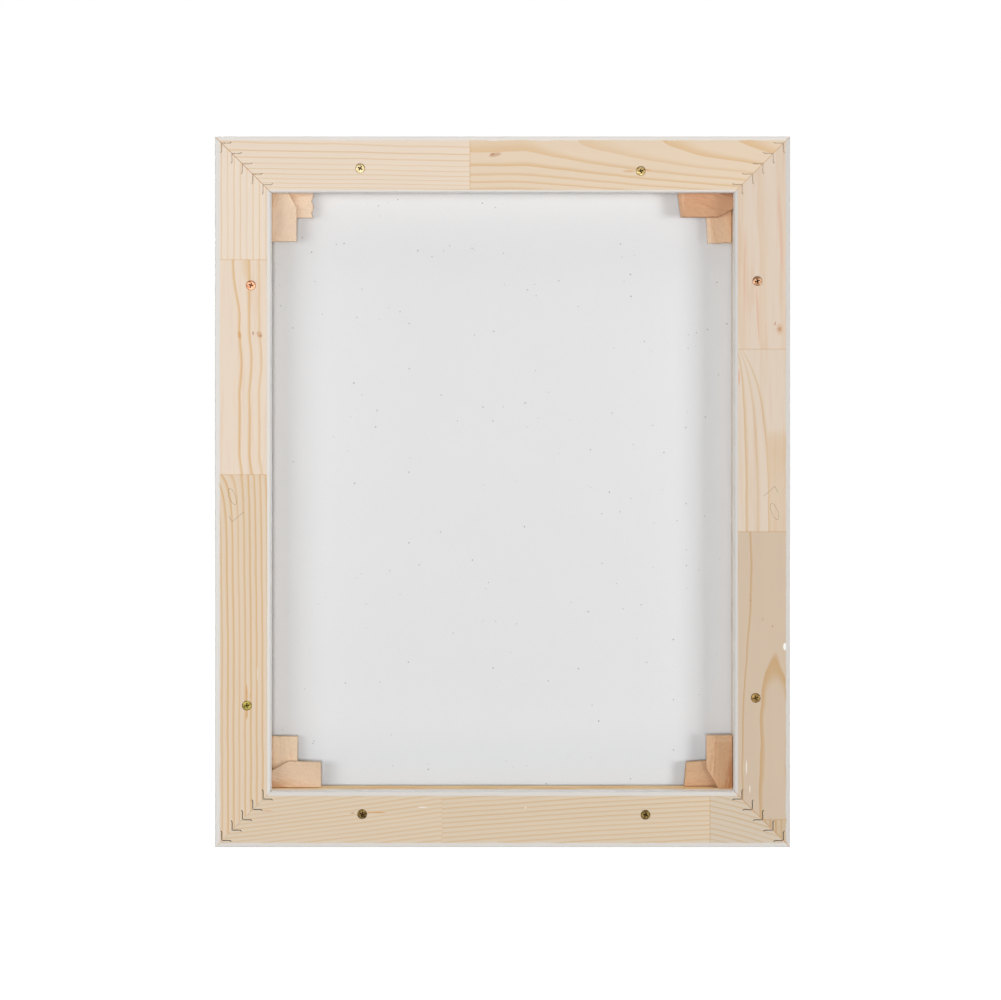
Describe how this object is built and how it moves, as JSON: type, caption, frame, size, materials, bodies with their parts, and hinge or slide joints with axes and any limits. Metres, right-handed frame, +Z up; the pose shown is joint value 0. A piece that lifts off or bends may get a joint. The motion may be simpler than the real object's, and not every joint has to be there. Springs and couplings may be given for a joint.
{
  "type": "stretched canvas",
  "caption": "Stretched canvas on a keyed pine stretcher, screwed from behind into a mitred, white-painted floater frame that hangs or stands.",
  "frame": {"origin": "middle of the bottom edge, where the frame stands", "axes": "+Z up, -Y is the painted front, +Y the raw back, +X is left as seen from behind"},
  "size_m": [0.424, 0.042, 0.524],
  "materials": {
    "frame_pine": "raw pine behind, white paint on the front, sides and rims",
    "stretcher_pine": "planed, unfinished",
    "beech": "sawn, unfinished",
    "primed_cotton": "white primed front, raw back",
    "yellow_zinc": "yellow zinc plate, satin",
    "nail_steel": "dull steel strip"
  },
  "bodies": {
    "root": {"floater_rail_top": "frame_pine", "floater_rail_bottom": "frame_pine", "floater_rail_left": "frame_pine", "floater_rail_right": "frame_pine", "stretcher_bar_top": "stretcher_pine", "stretcher_bar_bottom": "stretcher_pine", "stretcher_bar_left": "stretcher_pine", "stretcher_bar_right": "stretcher_pine", "canvas_cloth": "primed_cotton", "screw_top_left": "yellow_zinc", "screw_top_right": "yellow_zinc", "screw_left_upper": "yellow_zinc", "screw_left_lower": "yellow_zinc", "screw_right_upper": "yellow_zinc", "screw_right_lower": "yellow_zinc", "screw_bottom_left": "yellow_zinc", "screw_bottom_right": "yellow_zinc", "v_nail_top_left_1": "nail_steel", "v_nail_top_left_2": "nail_steel", "v_nail_top_left_3": "nail_steel", "v_nail_top_left_4": "nail_steel", "v_nail_top_left_5": "nail_steel", "v_nail_top_right_1": "nail_steel", "v_nail_top_right_2": "nail_steel", "v_nail_top_right_3": "nail_steel", "v_nail_top_right_4": "nail_steel", "v_nail_top_right_5": "nail_steel", "v_nail_bottom_right_1": "nail_steel", "v_nail_bottom_right_2": "nail_steel", "v_nail_bottom_right_3": "nail_steel", "v_nail_bottom_right_4": "nail_steel", "v_nail_bottom_right_5": "nail_steel", "v_nail_bottom_left_1": "nail_steel", "v_nail_bottom_left_2": "nail_steel", "v_nail_bottom_left_3": "nail_steel", "v_nail_bottom_left_4": "nail_steel", "v_nail_bottom_left_5": "nail_steel"},
    "key_top_left_back": {"key_top_left_back": "beech"},
    "key_top_left_front": {"key_top_left_front": "beech"},
    "key_top_right_back": {"key_top_right_back": "beech"},
    "key_top_right_front": {"key_top_right_front": "beech"},
    "key_bottom_right_back": {"key_bottom_right_back": "beech"},
    "key_bottom_right_front": {"key_bottom_right_front": "beech"},
    "key_bottom_left_back": {"key_bottom_left_back": "beech"},
    "key_bottom_left_front": {"key_bottom_left_front": "beech"}
  },
  "joints": [
    {"name": "key_slide_top_left_back", "type": "slide", "parent": "root", "child": "key_top_left_back", "axis": [0, 0, -1], "range_m": [-0.003, 0.014]},
    {"name": "key_slide_top_left_front", "type": "slide", "parent": "root", "child": "key_top_left_front", "axis": [-1, 0, 0], "range_m": [-0.003, 0.014]},
    {"name": "key_slide_top_right_back", "type": "slide", "parent": "root", "child": "key_top_right_back", "axis": [1, 0, 0], "range_m": [-0.001, 0.015]},
    {"name": "key_slide_top_right_front", "type": "slide", "parent": "root", "child": "key_top_right_front", "axis": [0, 0, -1], "range_m": [-0.003, 0.014]},
    {"name": "key_slide_bottom_right_back", "type": "slide", "parent": "root", "child": "key_bottom_right_back", "axis": [0, 0, 1], "range_m": [-0.003, 0.014]},
    {"name": "key_slide_bottom_right_front", "type": "slide", "parent": "root", "child": "key_bottom_right_front", "axis": [1, 0, 0], "range_m": [-0.003, 0.014]},
    {"name": "key_slide_bottom_left_back", "type": "slide", "parent": "root", "child": "key_bottom_left_back", "axis": [-1, 0, 0], "range_m": [-0.003, 0.014]},
    {"name": "key_slide_bottom_left_front", "type": "slide", "parent": "root", "child": "key_bottom_left_front", "axis": [0, 0, 1], "range_m": [-0.003, 0.014]}
  ]
}
